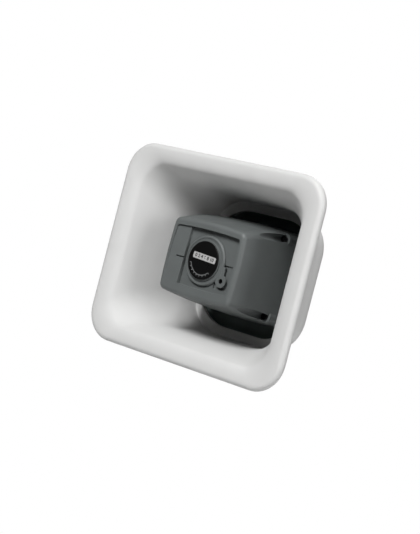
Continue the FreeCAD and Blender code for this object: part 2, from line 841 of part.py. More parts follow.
def make_driver_housing():
    outside = housing_outside()
    inside = placed("housing_inside", housing_form(number("front_thick"), number("shell")))
    guards = []
    for across, up in corner_places():
        guards.append(rod("pocket_guard", "pocket_radius + shell", "housing_length", "at_cavity - 1",
                          across, up))
    cavity = cut("housing_cavity", inside, guards)
    shell = cut("housing_shell", outside, [cavity])
    lugs = []
    bores = []
    for across, up in corner_places():
        lugs.append(rod("lug", "lug_radius", "housing_rear - lug_depth", "at_lug", across, up))
        bores.append(rod("pocket", "pocket_radius", "lug_depth - housing_front + 1",
                         "at_housing_front - 1", across, up))
    posts = []
    holes = []
    for across, up in corner_places():
        holes.append(rod("post_bore", "post_radius + post_gap", "housing_rear - lug_depth",
                         "at_post_top", across, up))
        holes.append(rod("lug_hole", "housing_screw_radius + screw_gap", "lug_floor + 2", "at_lug - 1",
                         across, up))
    for across, up in board_post_places():
        posts.append(rod("board_post", "board_post_radius", "at_board - at_cavity + 1", "at_cavity - 1",
                         across, up))
        holes.append(rod("board_pilot", "board_screw_radius + screw_gap / 3", "board_pilot + 1",
                         "at_board - board_pilot", across, up))
    shell = cut("housing_pockets", shell, bores)
    shell = join("housing_with_lugs", [shell] + lugs + posts)
    holes.append(rod("bush_hole", "bush_radius + running_gap", "front_thick + 2",
                     "at_housing_front - 1", "dial_across", "dial_lift"))
    publish(cut("driver_housing_cut", shell, holes + recess_forms()), "driver_housing")


def make_housing_screws():
    screws = [screw("housing_screw", "housing_screw_radius", "housing_screw_length - 1", "at_lug",
                    across, up, False) for across, up in corner_places()]
    publish(group("housing_screw_set", screws), "housing_screws")


def driver_screw_places():
    half = "driver_screw_circle * 0.70711"
    return [(side + half, rise + half) for side in ("", "-") for rise in ("", "-")]


def make_housing_cover():
    """Plate that closes the housing's rear round the screw pockets and holds the throat."""
    length = number("housing_length - cover_thick")
    thick = number("cover_thick")
    ring = housing_ring(length, number("shell + fit_gap"))
    plate = placed("cover_plate", Part.Face(ring).extrude(V(0, thick, 0)))
    holes = [rod("cover_hole", "driver_screw_radius + screw_gap / 3", "cover_thick + 2", "at_cover - 1",
                 across, up) for across, up in driver_screw_places()]
    holes.append(rod("cover_supply_hole", "supply_radius + running_gap", "cover_thick + 2",
                     "at_cover - 1", "supply_x", "supply_z"))
    corners = [rod("cover_corner", "pocket_radius + shell + fit_gap", "cover_thick + 2", "at_cover - 1",
                   across, up) for across, up in corner_places()]
    throat = cone("cover_throat", "throat_bore", "throat_exit", "cover_thick + 0.02", "at_cover - 0.01")
    publish(cut("cover_cut", plate, corners + holes + [throat]), "housing_cover")


# Compression driver

def make_driver():
    frame = tube("driver_frame_ring", "driver_radius", "frame_bore", "frame_thick", "at_frame")
    screw_holes = [rod("frame_hole", "driver_screw_radius + screw_gap", "frame_thick + 2", "at_frame - 1",
                       across, up) for across, up in driver_screw_places()]
    seat = rod("diaphragm_seat", "diaphragm_radius + 0.1", "0.02", "at_frame - 0.01")
    publish(cut("driver_frame_cut", frame, screw_holes + [seat]), "driver_frame")
    plate = tube("top_plate_ring", "driver_radius", "gap_radius", "top_plate_thick + diaphragm_thick",
                 "at_top_plate")
    pocket_form = rod("diaphragm_pocket", "diaphragm_radius + 0.1", "diaphragm_thick + 1", "at_diaphragm")
    holes = [rod("top_plate_hole", "driver_screw_radius + screw_gap", "top_plate_thick + 4",
                 "at_top_plate - 1", across, up) for across, up in driver_screw_places()]
    publish(cut("top_plate_cut", plate, [pocket_form] + holes), "top_plate")
    publish(tube("magnet_ring", "magnet_radius", "magnet_bore", "magnet_thick", "at_magnet"), "magnet")
    back = rod("yoke_back", "yoke_radius", "yoke_thick", "at_yoke")
    pole = rod("pole", "pole_radius", "magnet_thick + top_plate_thick + 1", "at_magnet - 1")
    publish(join("yoke_solid", [back, pole]), "pole_yoke")
    publish(tube("voice_coil_ring", "coil_outer", "coil_inner", "coil_length",
                 "at_diaphragm - coil_length"), "voice_coil")
    length = "top_plate_thick + diaphragm_thick + frame_thick + cover_thick - 1"
    screws = [screw("driver_screw", "driver_screw_radius", length, "at_top_plate", across, up, False)
              for across, up in driver_screw_places()]
    publish(group("driver_screw_set", screws), "driver_screws")


def dome_shell(radius, rise, thick, start):
    """Spherical cap that rises towards the wall from a circle, as a solid shell."""
    ball = (radius ** 2 + rise ** 2) / (2 * rise)
    centre = V(0, start + rise - ball, 0)
    shell = Part.makeSphere(ball, centre).cut(Part.makeSphere(ball - thick, centre))
    side = 2 * radius + 2
    keep = Part.makeBox(side, rise + 1, side, V(-side / 2, start, -side / 2))
    return shell.common(keep)


def make_diaphragm():
    start = number("at_diaphragm")
    thick = number("diaphragm_thick")
    radius = number("dome_radius")
    axis = V(0, 1, 0)
    rim = Part.makeCylinder(number("diaphragm_radius"), thick, V(0, start, 0), axis)
    rim = rim.cut(Part.makeCylinder(radius - thick, thick + 2, V(0, start - 1, 0), axis))
    solid = rim.fuse(dome_shell(radius, number("dome_rise"), thick, start)).removeSplitter()
    publish(placed("diaphragm_solid", solid), "diaphragm")


def make_phase_plug():
    """Plug behind the dome: its hollow face follows the dome, and its holes lead to the throat."""
    start = number("at_frame")
    radius = number("dome_radius")
    rise = number("dome_rise")
    ball = (radius ** 2 + rise ** 2) / (2 * rise)
    clear = number("diaphragm_thick + plug_gap")
    axis = V(0, 1, 0)
    thick = number("frame_thick - diaphragm_thick")
    wide = number("frame_bore - running_gap")
    solid = Part.makeCylinder(wide, thick, V(0, number("at_cover") - thick, 0), axis)
    centre = V(0, number("at_diaphragm") + rise - ball, 0)
    solid = solid.cut(Part.makeSphere(ball + clear, centre))
    solid = solid.cut(Part.makeCylinder(number("plug_bore"), 3 * thick, V(0, start - thick, 0), axis))
    ring = number("plug_circle")
    for step in range(8):
        turn = math.radians(45 * step)
        place = V(ring * math.cos(turn), start - thick, ring * math.sin(turn))
        solid = solid.cut(Part.makeCylinder(number("plug_hole"), 3 * thick, place, axis))
    publish(placed("phase_plug_solid", solid), "phase_plug")


# Amplifier

def make_board():
    plate = block("board_plate", ("board_width", "board_thick", "board_height"), "0", "at_board", "0")
    holes = [rod("board_hole", "board_screw_radius + screw_gap", "board_thick + 2", "at_board - 1",
                 across, up) for across, up in board_post_places()]
    publish(cut("board_cut", plate, holes), "amplifier_board")
    screws = [screw("board_screw", "board_screw_radius", "board_screw_length", "at_board_rear", across, up)
              for across, up in board_post_places()]
    publish(group("board_screw_set", screws), "board_screws")


def make_transformer():
    """Iron core with two windows round a middle limb, and the winding on that limb."""
    start = "at_board - winding_overhang - core_thick"
    outer = block("core_outer", ("core_width", "core_thick", "core_height"), "core_across", start, "0")
    window_width = "(core_width - 3 * limb) / 2"
    window = (window_width, "core_thick + 2", "core_height - 2 * limb")
    shift = "(limb + %s) / 2" % window_width
    windows = [block("core_window", window, "core_across %s %s" % (sign, shift), start + " - 1", "0")
               for sign in ("+", "-")]
    publish(cut("core_cut", outer, windows), "transformer_core")
    coil_size = ("core_width - 2 * limb - 2 * core_gap", "core_thick + 2 * winding_overhang",
                 "core_height - 2 * limb - 2 * core_gap")
    coil = block("winding_outer", coil_size, "core_across", start + " - winding_overhang", "0")
    limb_size = ("limb + core_gap", "core_thick + core_gap", "core_height")
    limb_hole = block("winding_hole", limb_size, "core_across", start + " - core_gap / 2", "0")
    publish(cut("winding_cut", coil, [limb_hole]), "transformer_winding")


def make_capacitors():
    places = (("-capacitor_near", "-capacitor_down"), ("-capacitor_far", "-capacitor_down"),
              ("-capacitor_near", "capacitor_up"))
    start = "at_board - capacitor_length"
    cans = [rod("capacitor", "capacitor_radius", "capacitor_length", start, across, up)
            for across, up in places]
    publish(group("capacitor_set", cans), "capacitors")


def make_heatsink():
    """Finned block: a base on the board with upright fins."""
    across, up = "-sink_across", "sink_up"
    start = "at_board - sink_length"
    pieces = [block("sink_base", ("sink_width", "sink_length", "sink_base"), across, start,
                    "%s - sink_height / 2 + sink_base / 2" % up)]
    for step in range(FIN_COUNT):
        share = step / (FIN_COUNT - 1) - 0.5
        place = "%s + %g * (sink_width - sink_fin)" % (across, share)
        pieces.append(block("fin", ("sink_fin", "sink_length", "sink_height"), place, start, up))
    publish(join("sink_solid", pieces), "heatsink")


def make_level_control():
    place = ("dial_across", "dial_lift")
    body = rod("control_body", "control_radius", "control_length", "at_cavity", *place)
    bush = rod("control_bush", "bush_radius", "front_thick - recess_depth + nut_thick + 1", "at_nut", *place)
    bore = rod("control_bore", "shaft_radius + running_gap", "at_cavity + 2 * shaft_reach - at_nut",
               "at_nut - 1", *place)
    publish(cut("control_cut", join("control_solid", [body, bush]), [bore]), "level_control")
    ring = rod("control_nut_outer", "nut_radius", "nut_thick - 0.02", "at_nut + 0.01", *place)
    hole = rod("control_nut_bore", "bush_radius + running_gap", "nut_thick + 2", "at_nut - 1", *place)
    publish(cut("control_nut_cut", ring, [hole]), "control_nut")
    shaft_start = "at_dial_front + badge_border"
    shaft = rod("shaft_rod", "shaft_radius", "at_cavity + shaft_reach - (%s)" % shaft_start, shaft_start,
                *place)
    publish(shaft, "dial_shaft")
    pins = [rod("control_pin", "lead_radius / 2", "at_board - at_cavity - control_length",
                "at_cavity + control_length", "dial_across + (%s)" % step, "dial_lift - pin_drop")
            for step in ("-pin_across", "0", "pin_across")]
    publish(group("control_pin_set", pins), "control_leads")


# Leads inside the housing

def lead(points, radius):
    """Round lead along straight runs joined by arcs as large as the runs allow."""
    path = []
    start = points[0]
    for before, here, after in zip(points, points[1:], points[2:]):
        back = (before - here).normalize()
        onward = (after - here).normalize()
        turn = math.pi - back.getAngle(onward)
        reach = 0.45 * min((before - here).Length, (after - here).Length)
        arc_radius = reach / math.tan(turn / 2)
        inward = (back + onward).normalize()
        middle = here + inward * (arc_radius / math.cos(turn / 2) - arc_radius)
        path.append(Part.LineSegment(start, here + back * reach).toShape())
        path.append(Part.Arc(here + back * reach, middle, here + onward * reach).toShape())
        start = here + onward * reach
    path.append(Part.LineSegment(start, points[-1]).toShape())
    wire = Part.Wire(path)
    ring = Part.Wire([Part.makeCircle(radius, points[0], points[1] - points[0])])
    return wire.makePipeShell([ring], True, False)


def make_lead_set(name, routes):
    radius = number("lead_radius")
    solids = Part.makeCompound([lead(points, radius) for points in routes])
    publish(placed(name + "_solids", solids), name)


def make_leads():
    board = number("at_board_rear")
    block_front = number("at_cover - block_length")
    plate_front = number("at_top_plate")
    pitch = number("3 * lead_radius")
    corner = number("block_corner + block_size / 2")
    straight, bend = number("lead_straight"), number("lead_bend")
    shift, land = number("lead_shift"), number("lead_land")
    routes = []
    for step in (-1, 1):
        across = -corner + step * pitch
        routes.append([V(across, block_front, -corner), V(across, board + straight, -corner),
                       V(across + shift, board + bend, -land), V(across + shift, board, -land)])
    make_lead_set("board_leads", routes)
    tag = number("driver_radius - lead_radius - tag_inset")
    straight, rise = number("tag_straight"), number("tag_rise")
    routes = []
    for angle in TAG_ANGLES:
        across = tag * math.cos(math.radians(angle))
        up = -tag * math.sin(math.radians(angle))
        inward = across - shift
        routes.append([V(across, plate_front, up), V(across, board + straight, up),
                       V(inward, board + straight / 2, up + rise), V(inward, board, up + rise)])
    make_lead_set("driver_leads", routes)
    centre = "-(block_corner + block_size / 2)"
    publish(block("terminal_block_box", ("block_size", "block_length", "block_size"), centre,
                  "at_cover - block_length", centre), "terminal_block")
    publish(rod("supply", "supply_radius", "at_back + gland_length - supply_inset - at_cover", "at_cover",
                "supply_x", "supply_z"), "supply_lead")


# Dial

def turned(name, points):
    """Solid turned about the dial's axis from an outline of (radius, place along Y)."""
    foot = V(number("dial_across"), 0, number("dial_lift"))
    corners = [foot + V(number(radius), number(place), 0) for radius, place in points]
    outline = Part.Face(Part.makePolygon(corners + corners[:1]))
    return placed(name, outline.revolve(foot, V(0, 1, 0), 360))


def make_dial():
    """Ring with a groove round its raised border, a hub on the shaft, and a lug with an eye."""
    front = "at_dial_front"
    step = "at_dial_front + badge_border"
    groove = "at_dial_front + groove_depth"
    hub_back = "at_nut - nut_gap"
    outline = [
        ("dial_hub", step),
        ("0", step),
        ("0", front),
        ("badge_radius + badge_border", front),
        ("badge_radius + badge_border", groove),
        ("dial_radius - rim_width", groove),
        ("dial_radius - rim_width", step),
        ("dial_radius - dial_edge", step),
        ("dial_radius", step + " + dial_edge"),
        ("dial_radius", "at_dial_back"),
        ("nut_radius + 1", "at_dial_back"),
        ("nut_radius + 1", hub_back),
        ("dial_hub", hub_back),
    ]
    ring = turned("dial_ring", outline)
    thick = "at_dial_back - (at_eye)"
    eye = rod("dial_eye", "eye_radius", thick, "at_eye", "eye_x", "-eye_drop")
    strap = block("dial_strap", ("strap_width", thick, "eye_drop + strap_top"), "dial_across + strap_across",
                  "at_eye", "(strap_top - eye_drop) / 2")
    hole = rod("eye_bore", "eye_hole", "%s + 2" % thick, "at_eye - 1", "eye_x", "-eye_drop")
    publish(cut("dial_cut", join("dial_solid", [ring, eye, strap]), [hole]), "control_dial")
    publish(rod("badge", "badge_radius", "badge_thick", "at_housing_front", "dial_across", "dial_lift"),
            "badge_disc")
    pin = rod("lug_screw_body", "eye_hole - running_gap", "%s - grub_sink" % thick, "at_eye + grub_sink",
              "eye_x", "-eye_drop")
    drive = block("lug_screw_slot", ("2 * eye_hole", "2 * slot_cut", "slot_cut"), "eye_x",
                  "at_eye + grub_sink - slot_cut", "-eye_drop")
    publish(cut("lug_screw", pin, [drive]), "dial_lug_screw")


# Wall mount

def make_swivel_link():
    tilt = rod("tilt_barrel_rod", "barrel_radius", "tilt_barrel", "-tilt_barrel / 2", "at_tilt", "0", "X")
    pan = rod("pan_barrel_rod", "barrel_radius", "pan_barrel", "-pan_barrel / 2", "0", "at_pan", "Z")
    web_block = block("link_web", ("web", "link_length", "web"), "0", "at_tilt", "0")
    solid = join("link_solid", [tilt, pan, web_block])
    bores = [
        rod("tilt_bore", "pin_radius + running_gap", "2 * tilt_barrel", "-tilt_barrel", "at_tilt", "0", "X"),
        rod("pan_bore", "pin_radius + running_gap", "2 * pan_barrel", "-pan_barrel", "0", "at_pan", "Z"),
    ]
    publish(cut("link_cut", solid, bores), "swivel_link")


def make_wall_plate():
    body = new_body("wall_plate_body")
    plate = facing(body, "wall_sheet", "-wall_plate_thick")
    rounded(plate, "wall_plate_width", "wall_plate_height", "wall_plate_corner")
    pad(body, plate, "wall_plate_thick")
    holes = facing(body, "wall_holes", "-wall_plate_thick")
    for side in ("", "-"):
        for rise in ("", "-"):
            circle(holes, "wall_hole_radius", side + "wall_hole_across / 2", rise + "wall_hole_up / 2")
    pocket(body, holes, "wall_plate_thick")
    ears = []
    for side in ("", "-"):
        middle = side + "(pan_barrel / 2 + side_gap + ear_thick / 2)"
        under = middle + " - ear_thick / 2"
        ears.append(rod("pan_ear", "ear_radius", "ear_thick", under, "0", "at_pan", "Z"))
        size = ("2 * ear_radius", "pan_reach - wall_plate_thick + 1", "ear_thick")
        ears.append(block("pan_ear_root", size, "0", "at_pan", middle))
    whole = join("wall_plate_whole", [body] + ears)
    hole = rod("pan_hole", "pin_radius + running_gap", "3 * pan_barrel", "-1.5 * pan_barrel", "0",
               "at_pan", "Z")
    publish(cut("wall_plate_cut", whole, [hole]), "wall_plate")


def hexagon(name, across_radius, thick, start, place_y, axis):
    item = doc.addObject("Part::Prism", name)
    item.Polygon = 6
    bind(item, "Circumradius", across_radius)
    bind(item, "Height", thick)
    turn = {"X": (V(0, 1, 0), 90), "Z": (V(0, 0, 1), 0)}[axis]
    item.Placement = FreeCAD.Placement(V(0, 0, 0), FreeCAD.Rotation(*turn))
    bind(item, "Placement.Base.y", place_y)
    bind(item, "Placement.Base." + axis.lower(), start)
    return item


def make_bolt(name, barrel, place_y, axis):
    """Hexagon bolt through two ears and a barrel, and its nut on the far side."""
    outside = "%s / 2 + side_gap + ear_thick + washer_gap" % barrel
    length = "%s + 2 * side_gap + 2 * ear_thick + 2 * washer_gap + head_thick + 1" % barrel
    head_start = "-(%s) - head_thick" % outside
    shaft = rod(name + "_shaft", "pin_radius", "%s + head_thick / 2" % length,
                "-(%s) - head_thick / 2" % outside, *({"X": (place_y, "0"), "Z": ("0", place_y)}[axis]),
                axis)
    head = hexagon(name + "_head", "head_radius", "head_thick", head_start, place_y, axis)
    publish(join(name + "_solid", [shaft, head]), name + "_bolt")
    nut = hexagon(name + "_nut_body", "head_radius", "head_thick", outside, place_y, axis)
    bore = rod(name + "_nut_bore", "pin_radius + running_gap", "head_thick + 2", outside + " - 1",
               *({"X": (place_y, "0"), "Z": ("0", place_y)}[axis]), axis)
    publish(cut(name + "_nut_cut", nut, [bore]), name + "_nut")


# Whole model

def check_and_write():
    doc.recompute()
    for item in doc.Objects:
        if "Invalid" in item.State or "Error" in item.State:
            raise RuntimeError("%s did not build: %s" % (item.Name, item.State))
    os.makedirs("parts", exist_ok=True)
    for item in PARTS:
        shape = item.Shape
        if shape.isNull() or not shape.isValid() or not shape.Solids:
            raise RuntimeError("%s has no valid solid" % item.Label)
    for item in PARTS:
        item.Shape.exportStep("parts/%s.step" % item.Label)


fill_sheet()
make_bell()
make_back_plate()
make_back_gasket()
make_back_screws()
make_cable_gland()
make_driver_housing()
make_housing_screws()
make_housing_cover()
make_driver()
make_diaphragm()
make_phase_plug()
make_board()
make_transformer()
make_capacitors()
make_heatsink()
make_level_control()
make_leads()
make_dial()
make_swivel_link()
make_wall_plate()
make_bolt("tilt", "tilt_barrel", "at_tilt", "X")
make_bolt("pan", "pan_barrel", "at_pan", "Z")
check_and_write()
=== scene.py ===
# Looks of a rectangular paging horn: smooth bell, textured plastics, dial marks and fasteners.
import json
import math

import bmesh
import bpy
from mathutils import Matrix, Vector


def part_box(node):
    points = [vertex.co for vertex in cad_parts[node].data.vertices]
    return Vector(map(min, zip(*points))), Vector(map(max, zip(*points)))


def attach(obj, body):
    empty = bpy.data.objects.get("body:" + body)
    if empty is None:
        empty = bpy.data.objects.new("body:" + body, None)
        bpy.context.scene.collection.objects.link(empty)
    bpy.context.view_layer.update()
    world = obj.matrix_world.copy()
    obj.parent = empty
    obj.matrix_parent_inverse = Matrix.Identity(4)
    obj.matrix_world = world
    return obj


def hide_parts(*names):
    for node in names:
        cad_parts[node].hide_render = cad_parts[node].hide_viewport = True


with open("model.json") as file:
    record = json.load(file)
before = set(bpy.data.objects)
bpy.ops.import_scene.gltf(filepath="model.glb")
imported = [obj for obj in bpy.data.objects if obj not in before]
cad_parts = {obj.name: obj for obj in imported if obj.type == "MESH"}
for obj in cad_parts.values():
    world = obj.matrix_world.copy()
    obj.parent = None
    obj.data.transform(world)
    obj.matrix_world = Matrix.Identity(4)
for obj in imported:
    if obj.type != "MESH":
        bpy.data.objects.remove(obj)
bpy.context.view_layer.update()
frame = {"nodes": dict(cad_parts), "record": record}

MM = 0.001

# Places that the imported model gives
BELL_LOW, BELL_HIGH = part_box("bell")
MOUTH_Y = BELL_LOW.y
BACK_Y = BELL_HIGH.y
HALF_W = BELL_HIGH.x
HALF_H = BELL_HIGH.z
BADGE_LOW, BADGE_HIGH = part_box("badge_disc")
DIAL_CENTRE = Vector(((BADGE_LOW.x + BADGE_HIGH.x) / 2, BADGE_LOW.y, (BADGE_LOW.z + BADGE_HIGH.z) / 2))
BADGE_RADIUS = (BADGE_HIGH.x - BADGE_LOW.x) / 2

# Bell's form, as in the construction
BEAD = 5 * MM
WALL = 3 * MM
LIP_ACROSS = (20 * MM, 15.5 * MM)
LIP_DROP = (9 * MM, 7 * MM)
LIP_TURN = (math.radians(56), math.radians(62))
CREST = (HALF_W - BEAD, HALF_H - BEAD)
CREST_CORNER = 28 * MM
BOX_HALF = (74.25 * MM, 76.5 * MM)
BOX_CORNER = 42 * MM
FLARE_CORNER = 40 * MM
BOX_LENGTH = 20 * MM
BOX_ROUND = 19.5 * MM
THROAT_HALF = (70 * MM, 64 * MM)
THROAT_CORNER = 46 * MM
THROAT_LIP = 5 * MM
THROAT_DEPTH = 96 * MM
THROAT_ROUND = 0.5 * MM
OPENING_HALF = (40 * MM, 38 * MM)
OPENING_CORNER = 12 * MM
SEAT = 7.3 * MM
SEAT_DEPTH = 5 * MM
SEAT_RIM = 10 * MM
BACK_WALL = 8 * MM
POST_RADIUS = 3.6 * MM
POST_BORE = 1.95 * MM
POST_TOP = 63 * MM
POST_BORE_DEPTH = 20 * MM
POST_PLACES = [(side * 53.5 * MM, up) for side in (-1, 1) for up in (42.5 * MM, -38 * MM)]
DEPTH = BACK_Y - MOUTH_Y

# The outside repeats the inside's curve, moved back and out by this much
OUTSIDE_SHIFT = 0.75 * WALL

# Fineness of the bell's rows, which crowd towards the lip
FLARE_ROWS = 44
FLARE_CROWDING = 2.2
ROUND_ROWS = 12
INNER_ROUND_ROWS = 10
BEAD_ROWS = 15
BEAD_START, BEAD_SWEEP = 165, 255
SEAT_ROUND = 0.5 * MM
POST_SIDES = 24
POST_EDGE = 0.4 * MM

# Where the flare's rows end: short of the throat's lip inside, and where they meet the bead outside
THROAT_GAP = 0.5 * MM
BEAD_MEETING = 0.95

# Rows up to this far past the back plate's seat count as its face
SEAT_REACH = 0.2 * MM


# Shader helpers

# Middle range of the noise textures, and the rounding that edges are shaded with
NOISE_LOW, NOISE_HIGH = 0.3, 0.7
EDGE_RADIUS = 0.4 * MM
EDGE_SAMPLES = 6

# Moulded plastic: scales of its blotches and of its uneven gloss, and its grain's strength
BLOTCH_SCALE = 35
GLOSS_SCALE = 60
GLOSS_SPREAD = 0.05
GRAIN_STRENGTH = 0.6

# Metal: scale and darkness of its patches, and how its scratches stretch, gleam and rise
PATCH_SCALE = 90
PATCH_DARKNESS = 0.88
SCRATCH_STRETCH = (1.0, 1.0, 14.0)
SCRATCH_POLISH, SCRATCH_DULL = 0.08, 0.1
SCRATCH_STRENGTH = 0.3
SCRATCH_DEPTH = 0.05 * MM

# Wound wire: its look and the relief of its turns
WIRE_METALLIC = 0.8
WIRE_ROUGHNESS = 0.3
WIRE_TURNS = 450.0
WIRE_UNEVEN = 0.2
# Share of the colour kept in the gaps between turns: painted shade
WIRE_GAP_PAINTED_SHADE = 0.6
WIRE_STRENGTH = 0.6
WIRE_DEPTH = 0.2 * MM


class Nodes:
    """A material's node tree with short calls to add and link nodes."""

    def __init__(self, name):
        self.material = bpy.data.materials.new(name)
        self.material.use_nodes = True
        self.tree = self.material.node_tree
        self.shader = self.tree.nodes["Principled BSDF"]

    def add(self, kind, **values):
        """New node, with its sockets or settings of these names set."""
        node = self.tree.nodes.new(kind)
        for name, value in values.items():
            if name in node.inputs:
                node.inputs[name].default_value = value
            else:
                setattr(node, name, value)
        return node

    def link(self, source, target):
        self.tree.links.new(source, target)

    def coordinates(self):
        return self.add("ShaderNodeTexCoord").outputs["Object"]

    def noise(self, scale, detail=3.0, roughness=0.5):
        """Noise in the object's own coordinates."""
        node = self.add("ShaderNodeTexNoise", Scale=scale, Detail=detail, Roughness=roughness)
        self.link(self.coordinates(), node.inputs["Vector"])
        return node.outputs["Fac"]

    def spread(self, value, low, high):
        """A noise's middle range, spread from low to high."""
        node = self.add("ShaderNodeMapRange")
        node.inputs["From Min"].default_value = NOISE_LOW
        node.inputs["From Max"].default_value = NOISE_HIGH
        node.inputs["To Min"].default_value = low
        node.inputs["To Max"].default_value = high
        self.link(value, node.inputs["Value"])
        return node.outputs["Result"]

    def two_tone(self, value, first, second):
        """Blend of two colours by a noise."""
        node = self.add("ShaderNodeValToRGB")
        node.color_ramp.elements[0].position = NOISE_LOW
        node.color_ramp.elements[0].color = (*first, 1)
        node.color_ramp.elements[1].position = NOISE_HIGH
        node.color_ramp.elements[1].color = (*second, 1)
        self.link(value, node.inputs["Fac"])
        return node.outputs["Color"]

    def bump(self, height, strength, distance):
        """Fine relief over edges that are shaded as slightly rounded."""
        node = self.add("ShaderNodeBump", Strength=strength, Distance=distance)
        self.link(height, node.inputs["Height"])
        edge = self.add("ShaderNodeBevel", Radius=EDGE_RADIUS)
        edge.samples = EDGE_SAMPLES
        self.link(edge.outputs["Normal"], node.inputs["Normal"])
        self.link(node.outputs["Normal"], self.shader.inputs["Normal"])


def moulded(name, colour, vary, roughness, grain, grain_depth, specular=0.5):
    """Moulded plastic: a fine spark-eroded grain, faint blotches and slightly uneven gloss."""
    made = Nodes(name)
    darker = tuple(c * (1 - vary) for c in colour)
    lighter = tuple(min(1.0, c * (1 + vary)) for c in colour)
    made.link(made.two_tone(made.noise(BLOTCH_SCALE, 4), darker, lighter), made.shader.inputs["Base Color"])
    made.link(made.spread(made.noise(GLOSS_SCALE), roughness - GLOSS_SPREAD, roughness + GLOSS_SPREAD),
              made.shader.inputs["Roughness"])
    made.shader.inputs["Specular IOR Level"].default_value = specular
    made.bump(made.noise(grain, 2, 0.6), GRAIN_STRENGTH, grain_depth)
    return made.material


def metal(name, colour, roughness, scratch_scale):
    """Metal with fine drawn scratches and patchy polish."""
    made = Nodes(name)
    made.shader.inputs["Metallic"].default_value = 1.0
    darker = tuple(c * PATCH_DARKNESS for c in colour)
    made.link(made.two_tone(made.noise(PATCH_SCALE, 4), darker, colour), made.shader.inputs["Base Color"])
    stretch = made.add("ShaderNodeMapping")
    stretch.inputs["Scale"].default_value = SCRATCH_STRETCH
    made.link(made.coordinates(), stretch.inputs["Vector"])
    scratches = made.add("ShaderNodeTexNoise", Scale=scratch_scale, Detail=3.0)
    made.link(stretch.outputs["Vector"], scratches.inputs["Vector"])
    made.link(made.spread(scratches.outputs["Fac"], roughness - SCRATCH_POLISH, roughness + SCRATCH_DULL),
              made.shader.inputs["Roughness"])
    made.bump(scratches.outputs["Fac"], SCRATCH_STRENGTH, SCRATCH_DEPTH)
    return made.material


def wound_wire(name, colour):
    """Enamelled wire in close turns, with painted shade in the gaps between them."""
    made = Nodes(name)
    made.shader.inputs["Metallic"].default_value = WIRE_METALLIC
    made.shader.inputs["Roughness"].default_value = WIRE_ROUGHNESS
    wave = made.add("ShaderNodeTexWave", Scale=WIRE_TURNS, Distortion=WIRE_UNEVEN)
    made.link(made.coordinates(), wave.inputs["Vector"])
    # The gaps between turns are painted darker, as painted shade
    darker = tuple(c * WIRE_GAP_PAINTED_SHADE for c in colour)
    made.link(made.two_tone(wave.outputs["Fac"], darker, colour), made.shader.inputs["Base Color"])
    made.bump(wave.outputs["Fac"], WIRE_STRENGTH, WIRE_DEPTH)
    return made.material


# Plastics, rubber and paint: colour and its spread, roughness, the grain's scale and its depth in metres,
# specular level
# Dark colour for the rear box's inside: painted shade standing for the shade behind the throat
CHAMBER_PAINTED_SHADE = moulded("chamber_painted_shade", (0.12, 0.145, 0.138), 0.1, 0.6, 2400, 0.0001, 0.4)
BELL_GREY = moulded("bell_plastic", (0.60, 0.60, 0.595), 0.015, 0.62, 2600, 0.00012, 0.3)
DARK_GREY = moulded("housing_plastic", (0.108, 0.118, 0.117), 0.05, 0.5, 2200, 0.0001, 0.5)
BLACK_GLOSS = moulded("badge_plastic", (0.005, 0.005, 0.005), 0.1, 0.3, 1800, 0.00003, 0.25)
BLACK_PLASTIC = moulded("black_plastic", (0.012, 0.012, 0.012), 0.1, 0.5, 2200, 0.00008)
RUBBER = moulded("rubber", (0.01, 0.01, 0.01), 0.1, 0.75, 1500, 0.0001, 0.3)
RED_LEAD = moulded("lead_insulation", (0.45, 0.03, 0.025), 0.05, 0.4, 1500, 0.00003)
PRINT_LIGHT = moulded("print_light", (0.42, 0.42, 0.415), 0.02, 0.5, 2500, 0.00002)
PRINT_GREY = moulded("print_grey", (0.16, 0.165, 0.165), 0.02, 0.5, 2500, 0.00002)
BOARD_GREEN = moulded("board_lacquer", (0.02, 0.16, 0.05), 0.15, 0.25, 900, 0.00003)
FERRITE = moulded("ferrite", (0.03, 0.03, 0.033), 0.15, 0.6, 1200, 0.0002)
FILM = moulded("dome_film", (0.55, 0.36, 0.12), 0.05, 0.2, 800, 0.00003)
PAINTED = moulded("bracket_paint", (0.58, 0.58, 0.575), 0.02, 0.42, 1100, 0.0002)
# Metals: colour, roughness, scale of the scratches
ZINC = metal("bright_zinc", (0.62, 0.62, 0.63), 0.3, 300)
DULL_ZINC = metal("dull_zinc", (0.45, 0.45, 0.43), 0.42, 300)
CAST = metal("cast_alloy", (0.6, 0.6, 0.6), 0.45, 200)
BLACK_SCREW = metal("black_screw", (0.03, 0.03, 0.03), 0.35, 300)
COPPER = wound_wire("winding_wire", (0.72, 0.3, 0.14))

SLOT_MATERIALS = {
    "bell_shell": BELL_GREY,
    "dark_shell": DARK_GREY,
    "badge": BLACK_GLOSS,
    "black_plastic": BLACK_PLASTIC,
    "black_screw": BLACK_SCREW,
    "bracket_metal": PAINTED,
    "steel": ZINC,
    "plated_steel": DULL_ZINC,
    "cast_alloy": CAST,
    "ferrite": FERRITE,
    "copper": COPPER,
    "dome_film": FILM,
    "board": BOARD_GREEN,
    "lead_cover": RED_LEAD,
    "seal": RUBBER,
}


def dress_nodes():
    """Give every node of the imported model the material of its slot."""
    for entry in frame["record"]["subparts"]:
        node = frame["nodes"][entry["node"]]
        node.data.materials.clear()
        node.data.materials.append(SLOT_MATERIALS[entry["material_slot"]])


# Mesh helpers

# Edges that turn by more than this many degrees stay sharp in the shading
SMOOTH_ANGLE = 35
BELL_SMOOTH_ANGLE = 40

# Rounding of profiles: the least turn that is rounded, its reach along a side, a side too short to count
LEAST_TURN = math.radians(25)
REACH_SHARE = 0.45
NO_LENGTH = 1e-9


